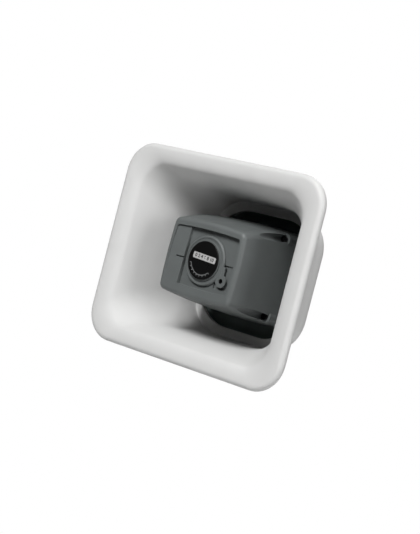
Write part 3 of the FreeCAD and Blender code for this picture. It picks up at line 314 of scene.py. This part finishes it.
def new_object(name, build, material, body, smooth_angle=SMOOTH_ANGLE):
    """Object from a bmesh that a function fills, with smooth shading up to an angle."""
    mesh = bpy.data.meshes.new(name)
    shape = bmesh.new()
    build(shape)
    bmesh.ops.recalc_face_normals(shape, faces=shape.faces)
    shape.to_mesh(mesh)
    shape.free()
    mesh.shade_smooth()
    mesh.set_sharp_from_angle(angle=math.radians(smooth_angle))
    made = bpy.data.objects.new(name, mesh)
    bpy.context.scene.collection.objects.link(made)
    mesh.materials.append(material)
    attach(made, body)
    return made


def rounded_ring(half_w, half_h, corner, y, arc_steps=14, side_steps=10):
    """Points of an upright rounded rectangle at a place along Y, anticlockwise from the front."""
    points = []
    inner_w, inner_h = half_w - corner, half_h - corner
    corners = ((inner_w, inner_h, 0), (-inner_w, inner_h, 90), (-inner_w, -inner_h, 180),
               (inner_w, -inner_h, 270))
    for index, (x, z, start) in enumerate(corners):
        for step in range(arc_steps + 1):
            turn = math.radians(start + 90 * step / arc_steps)
            points.append(Vector((x + corner * math.cos(turn), y, z + corner * math.sin(turn))))
        next_x, next_z, next_start = corners[(index + 1) % 4]
        begin = points[-1]
        turn = math.radians(next_start)
        end = Vector((next_x + corner * math.cos(turn), y, next_z + corner * math.sin(turn)))
        for step in range(1, side_steps):
            points.append(begin.lerp(end, step / side_steps))
    return points


def skin(shape, rings, closed):
    """Join rings of points into a band of quads, closed back on itself if asked."""
    rows = [[shape.verts.new(point) for point in ring] for ring in rings]
    pairs = list(zip(rows, rows[1:]))
    if closed:
        pairs.append((rows[-1], rows[0]))
    for low, high in pairs:
        count = len(low)
        for index in range(count):
            after = (index + 1) % count
            shape.faces.new((low[index], low[after], high[after], high[index]))
    return rows


def soften(profile, radius, steps=4):
    """Round an open profile's corners, where it turns sharply. Its points are tuples of any length."""
    def away(a, b):
        return math.sqrt((a[0] - b[0]) ** 2 + (a[-1] - b[-1]) ** 2)

    def mix(a, b, share):
        return tuple(x + (y - x) * share for x, y in zip(a, b))

    result = [profile[0]]
    for before, here, after in zip(profile, profile[1:], profile[2:]):
        run_in, run_out = away(before, here), away(here, after)
        if run_in < NO_LENGTH or run_out < NO_LENGTH:
            continue
        one = ((here[0] - before[0]) / run_in, (here[-1] - before[-1]) / run_in)
        two = ((after[0] - here[0]) / run_out, (after[-1] - here[-1]) / run_out)
        bend = math.acos(max(-1.0, min(1.0, one[0] * two[0] + one[1] * two[1])))
        reach = min(radius, REACH_SHARE * run_in, REACH_SHARE * run_out)
        if bend < LEAST_TURN:
            result.append(here)
            continue
        start, end = mix(here, before, reach / run_in), mix(here, after, reach / run_out)
        for step in range(steps + 1):
            share = step / steps
            result.append(mix(mix(start, here, share), mix(here, end, share), share))
    result.append(profile[-1])
    return result


# Bell

def flare_half(depth, axis, end_half, end_depth):
    """Half-size of the flare at a depth, across (axis 0) or up (axis 1): flat lip, then an easing curve."""
    across, drop, angle, crest = LIP_ACROSS[axis], LIP_DROP[axis], LIP_TURN[axis], CREST[axis]
    reach = across / drop * math.tan(angle)
    lip_depth = drop * (1 - 1 / math.hypot(1, reach))
    if depth <= lip_depth:
        return crest - across * math.sqrt(1 - (1 - depth / drop) ** 2)
    lip_half = crest - across * reach / math.hypot(1, reach)
    run = end_depth - lip_depth
    power = run / (lip_half - end_half) / math.tan(angle)
    return end_half + (lip_half - end_half) * ((end_depth - depth) / run) ** power


def flare_row(share, shift, end_half, end_corner, end_depth):
    """(half width, half height, corner, y) of the flare's face at a share of its depth."""
    run_out = end_depth - shift
    depth = share * run_out
    half_w = flare_half(depth, 0, end_half[0] - shift, run_out) + shift
    half_h = flare_half(depth, 1, end_half[1] - shift, run_out) + shift
    corner = CREST_CORNER * (1 - share) + (end_corner - shift) * share + shift
    return (half_w, half_h, corner, MOUTH_Y + shift + depth)


def grown(half, corner, extra, y):
    """Row of a rounded rectangle that is larger by the same amount all round."""
    return (half[0] + extra, half[1] + extra, corner + extra, y)


def bell_rows():
    """The bell's closed section, from the lip's crest down the inside and back along the outside."""
    throat_y = MOUTH_Y + THROAT_DEPTH
    chamber_half = (BOX_HALF[0] - WALL, BOX_HALF[1] - WALL)
    chamber_corner = BOX_CORNER - WALL
    rows = []
    for index in range(FLARE_ROWS + 1):
        share = (index / FLARE_ROWS) ** FLARE_CROWDING
        row = flare_row(share, 0.0, chamber_half, FLARE_CORNER, DEPTH - BOX_LENGTH)
        if row[3] < throat_y - THROAT_LIP / 2 - THROAT_GAP:
            rows.append(row)
    lip_front, lip_rear = throat_y - THROAT_LIP / 2, throat_y + THROAT_LIP / 2
    corners = [
        (*rows[-1][:3], lip_front),
        (*THROAT_HALF, THROAT_CORNER, lip_front),
        (*THROAT_HALF, THROAT_CORNER, lip_rear),
        grown(chamber_half, chamber_corner, 0.0, lip_rear),
    ]
    rows += soften([rows[-1]] + corners + [grown(chamber_half, chamber_corner, 0.0, lip_rear + WALL / 2)],
                   THROAT_ROUND)[1:-1]
    inner_round = BOX_ROUND - WALL
    inner_back = BACK_Y - WALL
    for step in range(INNER_ROUND_ROWS + 1):
        turn = math.radians(90 * step / INNER_ROUND_ROWS)
        rows.append(grown(chamber_half, chamber_corner, -inner_round * (1 - math.cos(turn)),
                          inner_back - inner_round + inner_round * math.sin(turn)))
    seat_y = BACK_Y - BACK_WALL
    rim = [
        grown(OPENING_HALF, OPENING_CORNER, SEAT_RIM, inner_back),
        grown(OPENING_HALF, OPENING_CORNER, SEAT_RIM, seat_y),
        grown(OPENING_HALF, OPENING_CORNER, 0.0, seat_y),
        grown(OPENING_HALF, OPENING_CORNER, 0.0, BACK_Y - SEAT_DEPTH),
        grown(OPENING_HALF, OPENING_CORNER, SEAT, BACK_Y - SEAT_DEPTH),
        grown(OPENING_HALF, OPENING_CORNER, SEAT, BACK_Y),
    ]
    rows += soften([rows[-1]] + rim + [grown(BOX_HALF, BOX_CORNER, -BOX_ROUND, BACK_Y)],
                   SEAT_ROUND, 3)[1:-1]
    for step in range(ROUND_ROWS + 1):
        turn = math.radians(90 - 90 * step / ROUND_ROWS)
        rows.append(grown(BOX_HALF, BOX_CORNER, -BOX_ROUND * (1 - math.cos(turn)),
                          BACK_Y - BOX_ROUND + BOX_ROUND * math.sin(turn)))
    for index in range(FLARE_ROWS + 1):
        share = (1 - index / FLARE_ROWS) ** FLARE_CROWDING
        row = flare_row(share, OUTSIDE_SHIFT, BOX_HALF, BOX_CORNER, DEPTH - BOX_LENGTH)
        if CREST[0] - row[0] > BEAD * BEAD_MEETING:
            rows.append(row)
    for step in range(BEAD_ROWS):
        turn = math.radians(BEAD_START - BEAD_SWEEP * step / BEAD_ROWS)
        rows.append(grown(CREST, CREST_CORNER, BEAD * math.cos(turn),
                          MOUTH_Y + BEAD + BEAD * math.sin(turn)))
    return rows


def add_post(shape, x, z):
    """Hollow post from the rear box's wall towards the mouth."""
    top, base = MOUTH_Y + POST_TOP, BACK_Y - WALL
    floor = top + POST_BORE_DEPTH
    profile = [(POST_RADIUS, base), (POST_RADIUS, top), (POST_BORE, top), (POST_BORE, floor)]
    profile = soften(profile, POST_EDGE, 3)
    turns = [math.tau * side / POST_SIDES for side in range(POST_SIDES)]
    rings = []
    for radius, y in profile:
        rings.append([Vector((x + radius * math.cos(turn), y, z + radius * math.sin(turn)))
                      for turn in turns])
    rows = skin(shape, rings, False)
    shape.faces.new(rows[0])
    shape.faces.new(rows[-1])


def build_bell(shape):
    skin(shape, [rounded_ring(*row) for row in bell_rows()], True)
    for x, z in POST_PLACES:
        add_post(shape, x, z)


def make_bell():
    """Light grey bell whose faces behind the throat are given a dark colour as painted shade."""
    bell = new_object("bell_shell", build_bell, BELL_GREY, "horn", BELL_SMOOTH_ANGLE)
    bell.data.materials.append(CHAMBER_PAINTED_SHADE)
    rows = bell_rows()
    ring_size = len(rounded_ring(*rows[0]))
    lip = MOUTH_Y + THROAT_DEPTH + THROAT_LIP / 2 - THROAT_ROUND
    seat = BACK_Y - BACK_WALL
    first = min(index for index, row in enumerate(rows) if row[3] >= lip)
    last = max(index for index, row in enumerate(rows[:-1])
               if row[3] < seat + SEAT_REACH and rows[index + 1][0] < OPENING_HALF[0] + SEAT_RIM - MM)
    # Faces from the throat's lip to the seat, and the posts, take the painted shade colour
    for face in bell.data.polygons:
        row = face.index // ring_size
        if first <= row < last or row >= len(rows):
            face.material_index = 1
    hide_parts("bell")


# Badge disc

DISC_SIDES = 96
BADGE_EDGE = 0.35 * MM
BADGE_EDGE_STEPS = 5


def ring_of(radius, y):
    """Points of a circle round the dial's centre, at a depth behind the disc's face."""
    turns = [math.tau * side / DISC_SIDES for side in range(DISC_SIDES)]
    return [DIAL_CENTRE + Vector((radius * math.cos(turn), y, radius * math.sin(turn))) for turn in turns]


def build_badge(shape):
    """Flat disc with a rounded edge."""
    thick = BADGE_HIGH.y - BADGE_LOW.y
    edge = BADGE_EDGE
    profile = [(BADGE_RADIUS, thick), (BADGE_RADIUS, edge)]
    for step in range(1, BADGE_EDGE_STEPS + 1):
        turn = math.radians(90 * step / BADGE_EDGE_STEPS)
        profile.append((BADGE_RADIUS - edge + edge * math.cos(turn), edge - edge * math.sin(turn)))
    rows = skin(shape, [ring_of(radius, y) for radius, y in profile], False)
    shape.faces.new(rows[0])
    shape.faces.new(rows[-1])


# Marks on the disc, in its own plane: across and up from its centre
MARK_TURN = math.radians(-3.3)
MARK_LIFT = 0.06 * MM
BAND_SIZE = (30.5 * MM, 6.3 * MM)
BAND_CENTRE = (0.9 * MM, 3.1 * MM)
BAND_CORNER = 1.2 * MM
NUMBERS = "0 2 4 6 8 10"
NUMBER_SIZE = 5.2 * MM
NUMBER_WEIGHT = 0.12 * MM
ARC_RADIUS = 15.6 * MM
ARC_WIDTH = 0.8 * MM
ARC_TICKS = 9
ARC_STEPS = 40
ARC_START, ARC_END = math.radians(200), math.radians(318)
TICK_SIZE = (0.8 * MM, 2.2 * MM)


def on_disc(across, up, lift):
    """Point on the disc's face, turned with the marks and raised towards the mouth."""
    x = across * math.cos(MARK_TURN) - up * math.sin(MARK_TURN)
    z = across * math.sin(MARK_TURN) + up * math.cos(MARK_TURN)
    return DIAL_CENTRE + Vector((x, -lift, z))


def add_mark(shape, outline):
    """Thin printed mark with this outline of points on the disc."""
    low = [shape.verts.new(on_disc(across, up, 0.0)) for across, up in outline]
    high = [shape.verts.new(on_disc(across, up, MARK_LIFT)) for across, up in outline]
    shape.faces.new(high)
    count = len(outline)
    for index in range(count):
        after = (index + 1) % count
        shape.faces.new((low[index], low[after], high[after], high[index]))


def build_band(shape):
    """Plain rounded band that carries the numbers."""
    ring = rounded_ring(BAND_SIZE[0] / 2, BAND_SIZE[1] / 2, BAND_CORNER, 0.0, arc_steps=6, side_steps=2)
    add_mark(shape, [(point.x + BAND_CENTRE[0], point.z + BAND_CENTRE[1]) for point in ring])


def build_scale(shape):
    """Arc with ticks in the disc's lower half."""
    outline = []
    there, back = range(ARC_STEPS + 1), range(ARC_STEPS, -1, -1)
    for radius, order in ((ARC_RADIUS, there), (ARC_RADIUS - ARC_WIDTH, back)):
        for step in order:
            turn = ARC_START + (ARC_END - ARC_START) * step / ARC_STEPS
            outline.append((radius * math.cos(turn), radius * math.sin(turn)))
    add_mark(shape, outline)
    for tick in range(ARC_TICKS):
        turn = ARC_START + (ARC_END - ARC_START) * tick / (ARC_TICKS - 1)
        out = Vector((math.cos(turn), math.sin(turn)))
        side = Vector((-out.y, out.x)) * (TICK_SIZE[0] / 2)
        near, far = out * (ARC_RADIUS - ARC_WIDTH / 2), out * (ARC_RADIUS + TICK_SIZE[1] - ARC_WIDTH)
        add_mark(shape, [tuple(near - side), tuple(far - side), tuple(far + side), tuple(near + side)])


def make_numbers():
    """Row of plain numbers on the band."""
    text = bpy.data.curves.new("level_numbers", "FONT")
    text.body = NUMBERS
    text.size = NUMBER_SIZE
    text.align_x = "CENTER"
    text.align_y = "CENTER"
    text.extrude = MARK_LIFT / 2
    text.offset = NUMBER_WEIGHT
    holder = bpy.data.objects.new("level_numbers_text", text)
    bpy.context.scene.collection.objects.link(holder)
    bpy.context.view_layer.update()
    mesh = bpy.data.meshes.new_from_object(holder)
    bpy.data.objects.remove(holder)
    place = on_disc(*BAND_CENTRE, MARK_LIFT)
    tilt = Matrix.Rotation(-MARK_TURN, 4, "Y") @ Matrix.Rotation(math.radians(90), 4, "X")
    mesh.transform(Matrix.Translation(place) @ tilt)
    made = bpy.data.objects.new("level_numbers", mesh)
    bpy.context.scene.collection.objects.link(made)
    mesh.materials.clear()
    mesh.materials.append(BLACK_GLOSS)
    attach(made, "dial")


def make_badge():
    """Black disc with its printed marks, all of which turn with the dial."""
    badge = new_object("badge_face", build_badge, BLACK_GLOSS, "dial")
    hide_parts("badge_disc")
    marks = (("badge_band", build_band, PRINT_LIGHT), ("badge_scale", build_scale, PRINT_GREY))
    for name, build, material in marks:
        new_object(name, build, material, "dial")
    make_numbers()


# Stage, light and camera

IMAGE = (420, 534)
FOCAL_PIXELS = 1345.0
CAMERA_AZIMUTH = 40.2
CAMERA_ELEVATION = 1.2
CAMERA_ROLL = 14.6
CAMERA_TARGET = Vector((16.4 * MM, MOUTH_Y, -3.1 * MM))
CAMERA_DISTANCE = 1348 * MM
SENSOR_WIDTH = 36.0
CLIP_START, CLIP_END = 0.05, 20.0


def make_camera():
    """Camera at the photograph's place, rolled as the photograph leans."""
    data = bpy.data.cameras.new("camera")
    camera = bpy.data.objects.new("camera", data)
    bpy.context.scene.collection.objects.link(camera)
    bpy.context.scene.camera = camera
    data.sensor_width = SENSOR_WIDTH
    data.lens = FOCAL_PIXELS / max(IMAGE) * data.sensor_width
    turn, rise = math.radians(CAMERA_AZIMUTH), math.radians(CAMERA_ELEVATION)
    back = Vector((math.sin(turn) * math.cos(rise), -math.cos(turn) * math.cos(rise), math.sin(rise)))
    level = back.to_track_quat("Z", "Y").to_matrix().to_4x4()
    roll = Matrix.Rotation(math.radians(CAMERA_ROLL), 4, "Z")
    camera.matrix_world = Matrix.Translation(CAMERA_TARGET + back * CAMERA_DISTANCE) @ level @ roll
    data.clip_start = CLIP_START
    data.clip_end = CLIP_END


def seen_white(name, colour, share):
    """Pale matt surface that looks nearly white to the camera and in mirrors, and still takes a shadow."""
    made = Nodes(name)
    made.shader.inputs["Base Color"].default_value = (*colour, 1)
    made.shader.inputs["Roughness"].default_value = 0.9
    path = made.add("ShaderNodeLightPath")
    first = made.add("ShaderNodeMath", operation="MAXIMUM")
    made.link(path.outputs["Is Camera Ray"], first.inputs[0])
    made.link(path.outputs["Is Glossy Ray"], first.inputs[1])
    second = made.add("ShaderNodeMath", operation="MAXIMUM")
    made.link(first.outputs[0], second.inputs[0])
    made.link(path.outputs["Is Transmission Ray"], second.inputs[1])
    part = made.add("ShaderNodeMath", operation="MULTIPLY")
    made.link(second.outputs[0], part.inputs[0])
    part.inputs[1].default_value = share
    glow = made.add("ShaderNodeEmission", Strength=1.0)
    glow.inputs["Color"].default_value = (1, 1, 1, 1)
    mix = made.add("ShaderNodeMixShader")
    made.link(part.outputs[0], mix.inputs["Fac"])
    made.link(made.shader.outputs["BSDF"], mix.inputs[1])
    made.link(glow.outputs["Emission"], mix.inputs[2])
    made.link(mix.outputs["Shader"], made.tree.nodes["Material Output"].inputs["Surface"])
    return made.material


FLOOR_HALF = 1.15
FLOOR_LEVEL = -0.75
FLOOR_COLOUR = (0.85, 0.85, 0.85)
FLOOR_WHITE_SHARE = 0.9


def make_floor():
    """Pale floor well below the object."""
    mesh = bpy.data.meshes.new("floor")
    half, level = FLOOR_HALF, FLOOR_LEVEL
    corners = [(-half, -half, level), (half, -half, level), (half, half, level), (-half, half, level)]
    mesh.from_pydata(corners, [], [(0, 1, 2, 3)])
    mesh.materials.append(seen_white("floor_white", FLOOR_COLOUR, FLOOR_WHITE_SHARE))
    floor = bpy.data.objects.new("floor", mesh)
    bpy.context.scene.collection.objects.link(floor)


WORLD_LIGHT = 0.01


def make_world():
    """Dim even light on the object, and white where the camera sees the background, also through glass."""
    world = bpy.data.worlds.new("studio")
    bpy.context.scene.world = world
    world.use_nodes = True
    tree = world.node_tree
    dim = tree.nodes["Background"]
    dim.inputs["Color"].default_value = (1, 1, 1, 1)
    dim.inputs["Strength"].default_value = WORLD_LIGHT
    white = tree.nodes.new("ShaderNodeBackground")
    white.inputs["Color"].default_value = (1, 1, 1, 1)
    white.inputs["Strength"].default_value = 1.0
    path = tree.nodes.new("ShaderNodeLightPath")
    seen = tree.nodes.new("ShaderNodeMath")
    seen.operation = "MAXIMUM"
    tree.links.new(path.outputs["Is Camera Ray"], seen.inputs[0])
    tree.links.new(path.outputs["Is Transmission Ray"], seen.inputs[1])
    mix = tree.nodes.new("ShaderNodeMixShader")
    tree.links.new(seen.outputs[0], mix.inputs["Fac"])
    tree.links.new(dim.outputs["Background"], mix.inputs[1])
    tree.links.new(white.outputs["Background"], mix.inputs[2])
    tree.links.new(mix.outputs["Shader"], tree.nodes["World Output"].inputs["Surface"])


# Distance from the bell's mouth and edge length of each light
LIGHT_DISTANCE = 2.5
LIGHT_SIZE = 1.0
# Azimuth and elevation in degrees, power in watts
LIGHTS = {
    "key_light": (5, 42, 70),
    "side_light": (50, 45, 6),
    "low_light": (82, 15, 30),
    "back_light": (200, 35, 30),
}


def soft_light(name, azimuth, elevation, power):
    """Square soft box in a direction from the bell's mouth, which it faces."""
    data = bpy.data.lights.new(name, "AREA")
    data.shape = "SQUARE"
    data.size = LIGHT_SIZE
    data.energy = power
    lamp = bpy.data.objects.new(name, data)
    bpy.context.scene.collection.objects.link(lamp)
    turn, rise = math.radians(azimuth), math.radians(elevation)
    away = Vector((math.sin(turn) * math.cos(rise), -math.cos(turn) * math.cos(rise), math.sin(rise)))
    lamp.location = Vector((0, MOUTH_Y, 0)) + away * LIGHT_DISTANCE
    lamp.rotation_mode = "QUATERNION"
    lamp.rotation_quaternion = (-away).to_track_quat("-Z", "Y")


def make_lights():
    for name, (azimuth, elevation, power) in LIGHTS.items():
        soft_light(name, azimuth, elevation, power)


dress_nodes()
make_bell()
make_badge()
make_camera()
make_floor()
make_world()
make_lights()
bpy.context.scene.view_settings.view_transform = "Standard"
